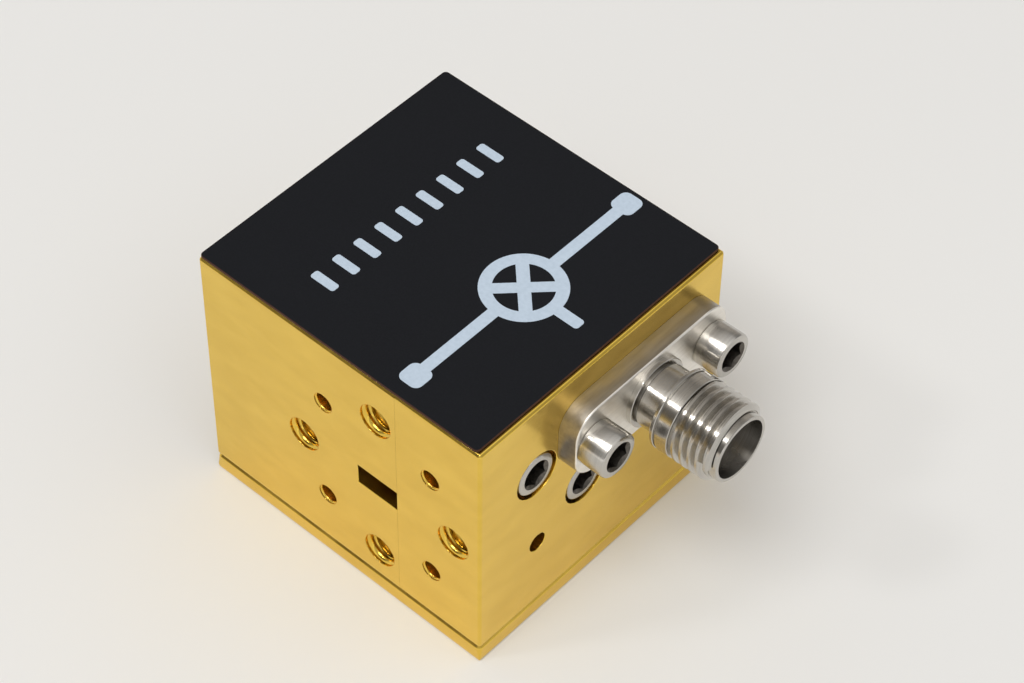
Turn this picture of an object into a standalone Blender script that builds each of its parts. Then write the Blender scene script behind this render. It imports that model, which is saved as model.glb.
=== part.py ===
"""Rf frequency mixer: a gold-plated split block with two waveguide ports and a coaxial flange jack.

Metres, +Z up. The origin is the centre of the block's footprint, on the surface it stands on.
+X is the way the coaxial jack points, -Y is the way the signal port in the photograph faces.
The block is split by a plane across X. All waveguide and circuit channels are milled into the rear half,
the front half closes them and carries the jack, and a thin cover plate is screwed under both.
"""

import math

import bmesh
import bpy
from mathutils import Matrix, Vector

# Waveguide ports: size WR-15, with a round-flange hole pattern on a 9/16 inch circle
GUIDE_BROAD = 0.0037592
GUIDE_NARROW = 0.0018796
GUIDE_LENGTH = 0.0092
GUIDES_APART = 0.0068
BOLT_CIRCLE_D = 0.0142875
TAPPED_HOLE_D = 0.0028448
TAPPED_HOLE_DEPTH = 0.006
PIN_HOLE_D = 0.0017
PIN_HOLE_DEPTH = 0.0025
PORT_HOLES = 8
DRILL_POINT_ANGLE = 118.0

# The block, as the metal round the ports' bolt circle
METAL_IN_FRONT = 0.0025
METAL_BEHIND = 0.0097
METAL_BELOW = 0.0045
METAL_ABOVE = 0.0041
EDGE_CHAMFER = 0.00018
FIT_GAP = 0.00005

# The cover plate under the block
COVER_THICKNESS = 0.0015
COVER_INSET = 0.00015
COVER_CORNER_RADIUS = 0.0004
COVER_FOOT_RADIUS = 0.00035
COVER_SCREW_EDGE = 0.003
COVER_SCREW_LENGTH = 0.0045
COVER_SCREW_RIM = 0.0009
COVER_SCREW_HEX = 0.00127
COVER_SCREW_HEX_DEPTH = 0.0008
COVER_SCREW_SUNK = 0.0001
COUNTERSINK_ANGLE = 82.0

# The label on top
LABEL_THICKNESS = 0.0002
LABEL_MARGIN_REAR = 0.00005
LABEL_MARGIN_FRONT = 0.00036
LABEL_MARGIN_SIDE = 0.0001
LABEL_CORNER_RADIUS = 0.0008

# Circuit channel and what lies in it
CHANNEL_DEPTH = 0.001
CHANNEL_CLEARANCE = 0.00015
SUBSTRATE_THICKNESS = 0.00025
SUBSTRATE_WIDTH = 0.0016
PROBE_FROM_GUIDE_END = 0.001
TRUNK_ABOVE_PORT = 0.00295
FILTER_WIDTH = 0.0012
FILTER_OVERRUN = 0.0008
DIODE_LENGTH = 0.0007
DIODE_WIDTH = 0.0004
DIODE_THICKNESS = 0.0002
DIODE_CHAMFER = 0.00004
DIODE_SPACING = 0.002

# Number 2-56 socket-head cap screws
CAP_HEAD_D = 0.00356
CAP_HEAD_HEIGHT = 0.00215
CAP_HEAD_CHAMFER = 0.00022
SHANK_D = 0.00218
HEX_ACROSS_FLATS = 0.00198
HEX_DEPTH = 0.0011
COUNTERBORE_CLEARANCE = 0.00023
SHANK_CLEARANCE = 0.0001
HEAD_SUNK = 0.00005
SCREW_BITE = 0.004
TAP_EXTRA = 0.0003

# Where the front half's screws go: past the probe legs or short of the guides' ends, and up from the ports
UPPER_SCREW_PAST_LEG = 0.00165
UPPER_SCREW_RISE = 0.0042
CENTRE_SCREW_SHORT_OF_GUIDE = 0.00167
CENTRE_SCREW_RISE = -0.00094
LOWER_SCREW_PAST_LEG = 0.00315
LOWER_SCREW_RISE = -0.0042

# Dowel pins that line up the halves
DOWEL_D = 0.0015
DOWEL_IN_REAR = 0.003
DOWEL_IN_FRONT = 0.0045
DOWEL_CHAMFER = 0.0002
DOWEL_PAST_LEG = 0.00143
DOWEL_RISE = 0.00345

# Coaxial jack: its radii grow outwards from the bead, to a 1/4 inch thread
JACK_Y = 0.0032
JACK_ABOVE_PORT = 0.0058
BEAD_D = 0.0041
BEAD_STOP = 0.00127
FRONT_BORE_STEP = 0.00025
FRONT_BORE_DEPTH = 0.0019
LIP_WALL = 0.0003
LEAD_CHAMFER = 0.00012
THREAD_DEPTH = 0.000525
NOTCH_DEPTH = 0.0002
NECK_WALL = 0.0004
RELIEF_DEPTH = 0.0002
COLLAR_STEP = 0.0003
COLLAR_LENGTH = 0.00045
RELIEF_LENGTH = 0.0002
NECK_LENGTH = 0.0017
SHOULDER_LENGTH = 0.0003
SHOULDER_CHAMFER = 0.0002
NOTCH_LENGTH = 0.00015
LAND_LENGTH = 0.0011
THREAD_LENGTH = 0.0034
LEAD_LENGTH = 0.00055

# The jack's flange and its screws
FLANGE_SCREW_SPACING = 0.01222
FLANGE_END = 0.00183
FLANGE_HEIGHT = 0.00566
FLANGE_THICKNESS = 0.0016
FLANGE_CORNER_RADIUS = 0.0022
FLANGE_EDGE = 0.00015
FLANGE_HOLE_CLEARANCE = 0.00021
FLANGE_SCREW_LENGTH = 0.00476

# The jack's centre contact
CONTACT_D = 0.00127
CONTACT_WALL = 0.000165
CONTACT_BORE_DEPTH = 0.0023
CONTACT_SLOT_WIDTH = 0.0002
CONTACT_SLOT_DEPTH = 0.0018
CONTACT_PIN_D = 0.0005
PIN_CLEARANCE = 0.00035

# Facets of round shapes
ROUND_LARGE = 40
ROUND_MEDIUM = 24
ROUND_SMALL = 16
CORNER_STEPS = 5
SHORTEST_EDGE = 0.00002
SAME_PLACE = 0.0000001
SHARP_ANGLE = 35.0

# Places that follow from the sizes above
BLOCK_LENGTH = METAL_IN_FRONT + BOLT_CIRCLE_D + METAL_BEHIND
BLOCK_WIDTH = GUIDES_APART + 2 * GUIDE_LENGTH
BLOCK_TOP = METAL_BELOW + BOLT_CIRCLE_D + METAL_ABOVE
BODY_BOTTOM = COVER_THICKNESS + FIT_GAP
FRONT_X = BLOCK_LENGTH / 2
REAR_X = -BLOCK_LENGTH / 2
SIDE_Y = BLOCK_WIDTH / 2
PORT_X = FRONT_X - METAL_IN_FRONT - BOLT_CIRCLE_D / 2
PORT_Z = METAL_BELOW + BOLT_CIRCLE_D / 2
SPLIT_X = PORT_X + GUIDE_BROAD / 2
SPLIT_BELOW_FRONT = SPLIT_X - FRONT_X
CHANNEL_FLOOR_X = SPLIT_X - CHANNEL_DEPTH
CIRCUIT_TOP_X = CHANNEL_FLOOR_X + FIT_GAP + SUBSTRATE_THICKNESS
TRUNK_Z = PORT_Z + TRUNK_ABOVE_PORT
PROBE_Y = GUIDES_APART / 2 + PROBE_FROM_GUIDE_END
LEG_REACH = PROBE_Y + SUBSTRATE_WIDTH / 2
JACK_Z = PORT_Z + JACK_ABOVE_PORT
FLANGE_LENGTH = FLANGE_SCREW_SPACING + 2 * FLANGE_END
FLANGE_TOP = FIT_GAP + FLANGE_THICKNESS
BARREL_LENGTHS = (
    COLLAR_LENGTH,
    RELIEF_LENGTH,
    NECK_LENGTH,
    SHOULDER_LENGTH,
    NOTCH_LENGTH,
    LAND_LENGTH,
    THREAD_LENGTH,
    LEAD_LENGTH,
)
JACK_TIP = FLANGE_TOP + sum(BARREL_LENGTHS)
JACK_FACE = JACK_TIP - FRONT_BORE_DEPTH
BEAD_BORE_R = BEAD_D / 2 + FIT_GAP
BEAD_END = SPLIT_BELOW_FRONT + BEAD_STOP
FRONT_BORE_R = BEAD_BORE_R + FRONT_BORE_STEP
LEAD_R = FRONT_BORE_R + LIP_WALL
THREAD_R = LEAD_R + THREAD_DEPTH
NECK_R = BEAD_BORE_R + NECK_WALL
CONTACT_PIN_END = CIRCUIT_TOP_X + FIT_GAP - FRONT_X
TAPPED_R = SHANK_D / 2 + FIT_GAP
HOUSING_SCREWS = {
    "housing_screw_upper": (-LEG_REACH - UPPER_SCREW_PAST_LEG, PORT_Z + UPPER_SCREW_RISE),
    "housing_screw_centre": (CENTRE_SCREW_SHORT_OF_GUIDE - GUIDES_APART / 2, PORT_Z + CENTRE_SCREW_RISE),
    "housing_screw_lower": (LEG_REACH + LOWER_SCREW_PAST_LEG, PORT_Z + LOWER_SCREW_RISE),
}
DOWEL_PINS = {
    "dowel_pin_left": (-LEG_REACH - DOWEL_PAST_LEG, PORT_Z - DOWEL_RISE),
    "dowel_pin_right": (LEG_REACH + DOWEL_PAST_LEG, PORT_Z + DOWEL_RISE),
}
FLANGE_SCREWS = {
    "flange_screw_left": JACK_Y - FLANGE_SCREW_SPACING / 2,
    "flange_screw_right": JACK_Y + FLANGE_SCREW_SPACING / 2,
}

ALONG_X = Matrix.Rotation(math.radians(90), 4, "Y")
ALONG_MINUS_Y = Matrix.Rotation(math.radians(90), 4, "X")
ALONG_PLUS_Y = Matrix.Rotation(math.radians(-90), 4, "X")


def clear_scene():
    for obj in list(bpy.data.objects):
        bpy.data.objects.remove(obj, do_unlink=True)


def material(name, color, metallic, roughness):
    made = bpy.data.materials.new(name)
    made.use_nodes = True
    shader = made.node_tree.nodes["Principled BSDF"]
    shader.inputs["Base Color"].default_value = (*color, 1.0)
    shader.inputs["Metallic"].default_value = metallic
    shader.inputs["Roughness"].default_value = roughness
    return made


def at(x, y, z, turn=Matrix.Identity(4)):
    """A frame at a place: local +Z points where the turn sends it."""
    return Matrix.Translation((x, y, z)) @ turn


def object_from(bm, name, frame):
    mesh = bpy.data.meshes.new(name)
    bm.to_mesh(mesh)
    bm.free()
    obj = bpy.data.objects.new(name, mesh)
    obj.matrix_world = frame
    bpy.context.scene.collection.objects.link(obj)
    return obj


def piece(bm, name, look, frame, parent):
    """One named sub-part, smooth where it is round and sharp at its edges."""
    obj = object_from(bm, name, frame)
    obj.data.materials.append(look)
    obj.parent = parent
    smooth(obj.data)
    return obj


def smooth(mesh):
    mesh.shade_smooth()
    mesh.set_sharp_from_angle(angle=math.radians(SHARP_ANGLE))


def box(low, high):
    """A block between two corners."""
    bm = bmesh.new()
    bmesh.ops.create_cube(bm, size=1.0)
    low, high = Vector(low), Vector(high)
    size = high - low
    bmesh.ops.scale(bm, vec=size, verts=bm.verts)
    bmesh.ops.translate(bm, vec=(low + high) / 2, verts=bm.verts)
    return bm


def bevel(bm, edges, width, segments=1):
    bmesh.ops.bevel(bm, geom=list(edges), offset=width, segments=segments, profile=0.5, affect="EDGES")
    return bm


def turned(profile, facets, closed=False):
    """A body of revolution about local Z from (radius, height) points.

    An open profile starts and ends on the axis; a closed one makes a tube.
    """
    bm = bmesh.new()
    distinct = [point for point, last in zip(profile, [None, *profile]) if point != last]
    points = [bm.verts.new((radius, 0.0, height)) for radius, height in distinct]
    pairs = list(zip(points, points[1:]))
    if closed:
        pairs.append((points[-1], points[0]))
    edges = [bm.edges.new(pair) for pair in pairs]
    bmesh.ops.spin(bm, geom=points + edges, cent=(0, 0, 0), axis=(0, 0, 1), angle=math.tau, steps=facets)
    bmesh.ops.remove_doubles(bm, verts=bm.verts, dist=SAME_PLACE)
    bmesh.ops.recalc_face_normals(bm, faces=bm.faces)
    return bm


def drilled(radius, depth, mouth=0.0):
    """A drill's shape about local Z: down from the surface at 0, with a cone at its end."""
    tip = radius / math.tan(math.radians(DRILL_POINT_ANGLE / 2))
    profile = [(0, mouth), (radius, mouth), (radius, -depth), (0, -depth - tip)]
    return turned(profile, ROUND_MEDIUM)


def prism(outline, low, high):
    """A flat outline of (x, y) points, extruded along local Z."""
    bm = bmesh.new()
    face = bm.faces.new([bm.verts.new((x, y, low)) for x, y in outline])
    grown = bmesh.ops.extrude_face_region(bm, geom=[face])
    top = [item for item in grown["geom"] if isinstance(item, bmesh.types.BMVert)]
    bmesh.ops.translate(bm, vec=(0, 0, high - low), verts=top)
    bmesh.ops.recalc_face_normals(bm, faces=bm.faces)
    return bm


def rounded_rectangle(length_x, length_y, radius):
    """Outline points of a centred rectangle with round corners."""
    radius = min(radius, (min(length_x, length_y) - SHORTEST_EDGE) / 2)
    outline = []
    for corner, (side_x, side_y) in enumerate(((1, 1), (-1, 1), (-1, -1), (1, -1))):
        centre_x = side_x * (length_x / 2 - radius)
        centre_y = side_y * (length_y / 2 - radius)
        for step in range(CORNER_STEPS + 1):
            angle = math.radians(90) * (corner + step / CORNER_STEPS)
            outline.append((centre_x + radius * math.cos(angle), centre_y + radius * math.sin(angle)))
    return outline


def rim(bm, height):
    """The edges that lie all round a flat face at one height."""
    return [edge for edge in bm.edges if all(abs(v.co.z - height) < SAME_PLACE for v in edge.verts)]


def hexagon_prism(across_flats, low, high):
    radius = across_flats / math.sqrt(3)
    corners = [math.radians(60 * k) for k in range(6)]
    return prism([(radius * math.cos(a), radius * math.sin(a)) for a in corners], low, high)


def boolean(target, tools, operation):
    """Adds or takes away all the tools at once, and leaves a plain mesh."""
    group = bpy.data.collections.new("tools")
    bpy.context.scene.collection.children.link(group)
    for tool in tools:
        tool.hide_render = True
        tool.display_type = "WIRE"
        bpy.context.scene.collection.objects.unlink(tool)
        group.objects.link(tool)
    modifier = target.modifiers.new("tools", "BOOLEAN")
    modifier.operation = operation
    modifier.solver = "EXACT"
    modifier.operand_type = "COLLECTION"
    modifier.collection = group
    evaluated = target.evaluated_get(bpy.context.evaluated_depsgraph_get())
    mesh = bpy.data.meshes.new_from_object(evaluated)
    target.modifiers.clear()
    old = target.data
    mesh.name = old.name
    target.data = mesh
    bpy.data.meshes.remove(old)
    for tool in tools:
        bpy.data.objects.remove(tool, do_unlink=True)
    bpy.data.collections.remove(group)
    smooth(mesh)
    return target


def cut(target, tools):
    return boolean(target, tools, "DIFFERENCE")


def tool(bm, frame=Matrix.Identity(4)):
    return object_from(bm, "tool", frame)


def front_frame(y, z):
    """A place on the block's front face, local +Z pointing out along +X."""
    return at(FRONT_X, y, z, ALONG_X)


def port_frames():
    """The two waveguide ports, local +Z pointing out of the block."""
    return (
        at(PORT_X, -SIDE_Y, PORT_Z, ALONG_MINUS_Y),
        at(PORT_X, SIDE_Y, PORT_Z, ALONG_PLUS_Y),
    )


def port_tools():
    """Four tapped holes and four pin holes, turn about, round each port."""
    tools = []
    radius = BOLT_CIRCLE_D / 2
    for frame in port_frames():
        for k in range(PORT_HOLES):
            angle = math.tau * k / PORT_HOLES
            spot = Matrix.Translation((radius * math.cos(angle), radius * math.sin(angle), 0))
            if k % 2 == 0:
                hole = drilled(TAPPED_HOLE_D / 2, TAPPED_HOLE_DEPTH, FIT_GAP)
            else:
                hole = drilled(PIN_HOLE_D / 2, PIN_HOLE_DEPTH, FIT_GAP)
            tools.append(tool(hole, frame @ spot))
    return tools


def guide_tools():
    """Both waveguides: open at the block's sides and at the split, blind towards the middle."""
    tools = []
    for side in (-1, 1):
        ends = sorted((side * GUIDES_APART / 2, side * (SIDE_Y + FIT_GAP)))
        low = (SPLIT_X - GUIDE_BROAD, ends[0], PORT_Z - GUIDE_NARROW / 2)
        high = (SPLIT_X + FIT_GAP, ends[1], PORT_Z + GUIDE_NARROW / 2)
        tools.append(tool(box(low, high)))
    return tools


def strip(y_low, y_high, z_low, z_high, x_low, x_high, grow=0.0):
    return box((x_low, y_low - grow, z_low - grow), (x_high, y_high + grow, z_high + grow))


def circuit_strips():
    """The rectangles of the mixer circuit as (y_low, y_high, z_low, z_high): trunk and two probe legs."""
    half = SUBSTRATE_WIDTH / 2
    trunk = (-LEG_REACH, LEG_REACH, TRUNK_Z - half, TRUNK_Z + half)
    legs = [(y - half, y + half, PORT_Z, TRUNK_Z + half) for y in (-PROBE_Y, PROBE_Y)]
    return [trunk, *legs]


def filter_strip():
    """The rectangle of the filter strip, from the trunk's edge to just past the jack's pin."""
    half = FILTER_WIDTH / 2
    low = TRUNK_Z + SUBSTRATE_WIDTH / 2 + FIT_GAP
    return (JACK_Y - half, JACK_Y + half, low, JACK_Z + FILTER_OVERRUN)


def channel_tools():
    """Milled slots a little wider than the strips that lie in them."""
    y_low, y_high, z_low, z_high = filter_strip()
    joined = (y_low, y_high, TRUNK_Z, z_high)
    return [
        tool(strip(*sides, CHANNEL_FLOOR_X, SPLIT_X + FIT_GAP, CHANNEL_CLEARANCE))
        for sides in (*circuit_strips(), joined)
    ]


def dowel_tools():
    """Blind in the rear half, open to the front face."""
    low = SPLIT_BELOW_FRONT - DOWEL_IN_REAR - TAP_EXTRA
    radius = DOWEL_D / 2 + FIT_GAP
    profile = [(0, FIT_GAP), (radius, FIT_GAP), (radius, low), (0, low)]
    return [tool(turned(profile, ROUND_SMALL), front_frame(y, z)) for y, z in DOWEL_PINS.values()]


def housing_screw_tools():
    """Counterbore and clearance hole in the front half, then a tapped hole in the rear half."""
    seat = -CAP_HEAD_HEIGHT - HEAD_SUNK - FIT_GAP
    end = SPLIT_BELOW_FRONT - SCREW_BITE - TAP_EXTRA
    counterbore = CAP_HEAD_D / 2 + COUNTERBORE_CLEARANCE
    clear = SHANK_D / 2 + SHANK_CLEARANCE
    profile = [
        (0, FIT_GAP),
        (counterbore, FIT_GAP),
        (counterbore, seat),
        (clear, seat),
        (clear, SPLIT_BELOW_FRONT),
        (TAPPED_R, SPLIT_BELOW_FRONT),
        (TAPPED_R, end),
        (0, end),
    ]
    return [tool(turned(profile, ROUND_MEDIUM), front_frame(y, z)) for y, z in HOUSING_SCREWS.values()]


def jack_tools():
    """Tapped holes for the flange screws, the bead's bore and the feed hole behind it."""
    end = FLANGE_TOP + FIT_GAP - FLANGE_SCREW_LENGTH - TAP_EXTRA
    hole = [(0, FIT_GAP), (TAPPED_R, FIT_GAP), (TAPPED_R, end), (0, end)]
    tools = [tool(turned(hole, ROUND_MEDIUM), front_frame(y, JACK_Z)) for y in FLANGE_SCREWS.values()]
    feed = CONTACT_PIN_D / 2 + PIN_CLEARANCE
    bore = [
        (0, FIT_GAP),
        (BEAD_BORE_R, FIT_GAP),
        (BEAD_BORE_R, BEAD_END - FIT_GAP),
        (feed, BEAD_END - FIT_GAP),
        (feed, SPLIT_BELOW_FRONT - FIT_GAP),
        (0, SPLIT_BELOW_FRONT - FIT_GAP),
    ]
    tools.append(tool(turned(bore, ROUND_MEDIUM), front_frame(JACK_Y, JACK_Z)))
    return tools


def cover_screw_places():
    """The four corners of the underside."""
    x = FRONT_X - COVER_SCREW_EDGE
    y = SIDE_Y - COVER_SCREW_EDGE
    return [(side_x * x, side_y * y) for side_x in (-1, 1) for side_y in (-1, 1)]


def countersink_height():
    """How far a flat head's cone runs from its rim to the shank."""
    return COVER_SCREW_RIM / math.tan(math.radians(COUNTERSINK_ANGLE / 2))


def cover_screw_tools():
    """Countersunk through the cover, tapped above it."""
    head = TAPPED_R + COVER_SCREW_RIM
    cone = COVER_SCREW_SUNK + countersink_height()
    end = COVER_SCREW_SUNK + COVER_SCREW_LENGTH + TAP_EXTRA
    profile = [
        (0, -FIT_GAP),
        (head, -FIT_GAP),
        (head, COVER_SCREW_SUNK),
        (TAPPED_R, cone),
        (TAPPED_R, end),
        (0, end),
    ]
    return [tool(turned(profile, ROUND_MEDIUM), at(x, y, 0)) for x, y in cover_screw_places()]


def half_block(x_low, x_high):
    """One half of the block, its outer edges chamfered and its edges at the split left sharp."""
    bm = box((x_low, -SIDE_Y, BODY_BOTTOM), (x_high, SIDE_Y, BLOCK_TOP))
    split = x_high if x_low == REAR_X else x_low
    outer = [edge for edge in bm.edges if not all(abs(v.co.x - split) < SAME_PLACE for v in edge.verts)]
    return bevel(bm, outer, EDGE_CHAMFER)


def make_housings(look, parent):
    rear = piece(half_block(REAR_X, SPLIT_X), "housing_rear", look, at(0, 0, 0), parent)
    front = piece(half_block(SPLIT_X + FIT_GAP, FRONT_X), "housing_front", look, at(0, 0, 0), parent)
    shared = (port_tools, housing_screw_tools, dowel_tools, cover_screw_tools)
    cut(rear, [made for tools in (*shared, guide_tools, channel_tools) for made in tools()])
    cut(front, [made for tools in (*shared, jack_tools) for made in tools()])


def make_base_cover(look, parent):
    outline = rounded_rectangle(
        BLOCK_LENGTH - 2 * COVER_INSET, BLOCK_WIDTH - 2 * COVER_INSET, COVER_CORNER_RADIUS
    )
    bm = prism(outline, 0, COVER_THICKNESS)
    bevel(bm, rim(bm, COVER_THICKNESS), EDGE_CHAMFER)
    bevel(bm, rim(bm, 0), COVER_FOOT_RADIUS, 2)
    cover = piece(bm, "base_cover", look, at(0, 0, 0), parent)
    cut(cover, cover_screw_tools())


def make_label(look, parent):
    length = BLOCK_LENGTH - LABEL_MARGIN_REAR - LABEL_MARGIN_FRONT
    width = BLOCK_WIDTH - 2 * LABEL_MARGIN_SIDE
    outline = rounded_rectangle(length, width, LABEL_CORNER_RADIUS)
    centre_x = (LABEL_MARGIN_REAR - LABEL_MARGIN_FRONT) / 2
    frame = at(centre_x, 0, BLOCK_TOP + FIT_GAP)
    piece(prism(outline, 0, LABEL_THICKNESS), "label_plate", look, frame, parent)


def cap_screw_mesh(name, look, length):
    """A socket-head cap screw: its head's seat at local 0, head up, shank down."""
    head = CAP_HEAD_D / 2
    shank = SHANK_D / 2
    profile = [
        (0, CAP_HEAD_HEIGHT),
        (head - CAP_HEAD_CHAMFER, CAP_HEAD_HEIGHT),
        (head, CAP_HEAD_HEIGHT - CAP_HEAD_CHAMFER),
        (head, 0),
        (shank, 0),
        (shank, -length + CAP_HEAD_CHAMFER),
        (shank - CAP_HEAD_CHAMFER, -length),
        (0, -length),
    ]
    screw = object_from(turned(profile, ROUND_MEDIUM), name, at(0, 0, 0))
    screw.data.materials.append(look)
    socket = hexagon_prism(HEX_ACROSS_FLATS, CAP_HEAD_HEIGHT - HEX_DEPTH, CAP_HEAD_HEIGHT + FIT_GAP)
    cut(screw, [tool(socket)])
    mesh = screw.data
    bpy.data.objects.remove(screw, do_unlink=True)
    return mesh


def copies(mesh, frames, parent):
    """Objects that share one mesh, one at each named frame."""
    for name, frame in frames.items():
        obj = bpy.data.objects.new(name, mesh)
        obj.matrix_world = frame
        obj.parent = parent
        bpy.context.scene.collection.objects.link(obj)


def make_housing_screws(look, parent):
    seat = -CAP_HEAD_HEIGHT - HEAD_SUNK
    mesh = cap_screw_mesh("housing_screw", look, seat - SPLIT_BELOW_FRONT + SCREW_BITE)
    sunk = Matrix.Translation((0, 0, seat))
    frames = {name: front_frame(y, z) @ sunk for name, (y, z) in HOUSING_SCREWS.items()}
    copies(mesh, frames, parent)


def make_flange_screws(look, parent):
    seat = Matrix.Translation((0, 0, FLANGE_TOP + FIT_GAP))
    mesh = cap_screw_mesh("flange_screw", look, FLANGE_SCREW_LENGTH)
    frames = {name: front_frame(y, JACK_Z) @ seat for name, y in FLANGE_SCREWS.items()}
    copies(mesh, frames, parent)


def make_cover_screws(look, parent):
    shank = SHANK_D / 2
    head = shank + COVER_SCREW_RIM
    end = COVER_SCREW_LENGTH
    profile = [(0, 0), (head, 0), (shank, countersink_height()), (shank, end), (0, end)]
    screw = object_from(turned(profile, ROUND_MEDIUM), "cover_screw", at(0, 0, 0))
    screw.data.materials.append(look)
    socket = hexagon_prism(COVER_SCREW_HEX, -FIT_GAP, COVER_SCREW_HEX_DEPTH)
    cut(screw, [tool(socket)])
    mesh = screw.data
    bpy.data.objects.remove(screw, do_unlink=True)
    places = enumerate(cover_screw_places(), 1)
    frames = {f"cover_screw_{number}": at(x, y, COVER_SCREW_SUNK) for number, (x, y) in places}
    copies(mesh, frames, parent)


def make_dowel_pins(look, parent):
    radius = DOWEL_D / 2
    low = SPLIT_BELOW_FRONT - DOWEL_IN_REAR
    high = SPLIT_BELOW_FRONT + DOWEL_IN_FRONT
    profile = [
        (0, high),
        (radius - DOWEL_CHAMFER, high),
        (radius, high - DOWEL_CHAMFER),
        (radius, low + DOWEL_CHAMFER),
        (radius - DOWEL_CHAMFER, low),
        (0, low),
    ]
    for name, (y, z) in DOWEL_PINS.items():
        piece(turned(profile, ROUND_SMALL), name, look, front_frame(y, z), parent)


def barrel_profile():
    """The jack's outside, from a root inside the flange to the tip, one turned step after another."""
    steps = [
        (NECK_R + COLLAR_STEP, COLLAR_LENGTH, 0, 0),
        (NECK_R - RELIEF_DEPTH, RELIEF_LENGTH, 0, 0),
        (NECK_R, NECK_LENGTH, 0, 0),
        (THREAD_R, SHOULDER_LENGTH, SHOULDER_CHAMFER, 0),
        (THREAD_R - NOTCH_DEPTH, NOTCH_LENGTH, 0, 0),
        (THREAD_R, LAND_LENGTH + THREAD_LENGTH, 0, THREAD_DEPTH),
        (LEAD_R, LEAD_LENGTH, 0, LEAD_CHAMFER),
    ]
    root = FLANGE_TOP / 2
    height = FLANGE_TOP
    profile = [(0, root), (steps[0][0], root)]
    for radius, length, chamfer_low, chamfer_high in steps:
        if height > FLANGE_TOP:
            profile += [(radius - chamfer_low, height), (radius, height + chamfer_low)]
        height += length
        profile += [(radius, height - chamfer_high), (radius - chamfer_high, height)]
    return [*profile, (0, height)]


def make_connector_shell(look, parent):
    """Flange and barrel in one piece, bored for the bead from behind and for the mating plug in front."""
    frame = front_frame(JACK_Y, JACK_Z)
    flange = prism(rounded_rectangle(FLANGE_HEIGHT, FLANGE_LENGTH, FLANGE_CORNER_RADIUS), FIT_GAP, FLANGE_TOP)
    bevel(flange, rim(flange, FLANGE_TOP), FLANGE_EDGE)
    shell = piece(flange, "connector_shell", look, frame, parent)
    boolean(shell, [tool(turned(barrel_profile(), ROUND_LARGE), frame)], "UNION")
    mouth = JACK_TIP + FIT_GAP
    bore = [
        (0, mouth),
        (FRONT_BORE_R, mouth),
        (FRONT_BORE_R, JACK_FACE),
        (BEAD_BORE_R, JACK_FACE),
        (BEAD_BORE_R, 0),
        (0, 0),
    ]
    radius = SHANK_D / 2 + FLANGE_HOLE_CLEARANCE
    through = [(0, FLANGE_TOP + FIT_GAP), (radius, FLANGE_TOP + FIT_GAP), (radius, 0), (0, 0)]
    holes = [tool(turned(through, ROUND_MEDIUM), front_frame(y, JACK_Z)) for y in FLANGE_SCREWS.values()]
    cut(shell, [tool(turned(bore, ROUND_LARGE), frame), *holes])


def make_bead(look, parent):
    outer = BEAD_D / 2
    inner = CONTACT_D / 2 + FIT_GAP
    profile = [(outer, JACK_FACE), (outer, BEAD_END), (inner, BEAD_END), (inner, JACK_FACE)]
    bead = turned(profile, ROUND_MEDIUM, closed=True)
    piece(bead, "connector_bead", look, front_frame(JACK_Y, JACK_Z), parent)


def make_centre_contact(look, parent):
    """A turned pin: bored and slotted at the front, thin behind, its end just above the filter strip."""
    outer = CONTACT_D / 2
    bore = outer - CONTACT_WALL
    pin = CONTACT_PIN_D / 2
    profile = [
        (0, JACK_FACE - CONTACT_BORE_DEPTH),
        (bore, JACK_FACE - CONTACT_BORE_DEPTH),
        (bore, JACK_FACE),
        (outer, JACK_FACE),
        (outer, BEAD_END),
        (pin, BEAD_END),
        (pin, CONTACT_PIN_END),
        (0, CONTACT_PIN_END),
    ]
    frame = front_frame(JACK_Y, JACK_Z)
    contact = piece(turned(profile, ROUND_SMALL), "centre_contact", look, frame, parent)
    half = CONTACT_SLOT_WIDTH / 2
    low = JACK_FACE - CONTACT_SLOT_DEPTH
    high = JACK_FACE + FIT_GAP
    slots = [
        box((-CONTACT_D, -half, low), (CONTACT_D, half, high)),
        box((-half, -CONTACT_D, low), (half, CONTACT_D, high)),
    ]
    cut(contact, [tool(slot, frame) for slot in slots])


def make_circuit(ceramic, chip, parent):
    """Both ceramic strips on the channel floor, and the diode pair on the trunk."""
    low = CHANNEL_FLOOR_X + FIT_GAP
    trunk, *legs = circuit_strips()
    mixer = piece(strip(*trunk, low, CIRCUIT_TOP_X), "mixer_substrate", ceramic, at(0, 0, 0), parent)
    boolean(mixer, [tool(strip(*leg, low, CIRCUIT_TOP_X)) for leg in legs], "UNION")
    piece(strip(*filter_strip(), low, CIRCUIT_TOP_X), "if_filter_substrate", ceramic, at(0, 0, 0), parent)
    for name, side in (("mixer_diode_left", -1), ("mixer_diode_right", 1)):
        half = Vector((0, DIODE_LENGTH / 2, DIODE_WIDTH / 2))
        foot = Vector((CIRCUIT_TOP_X + FIT_GAP, side * DIODE_SPACING / 2, TRUNK_Z))
        bm = box(foot - half, foot + half + Vector((DIODE_THICKNESS, 0, 0)))
        bevel(bm, bm.edges, DIODE_CHAMFER)
        piece(bm, name, chip, at(0, 0, 0), parent)


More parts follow.
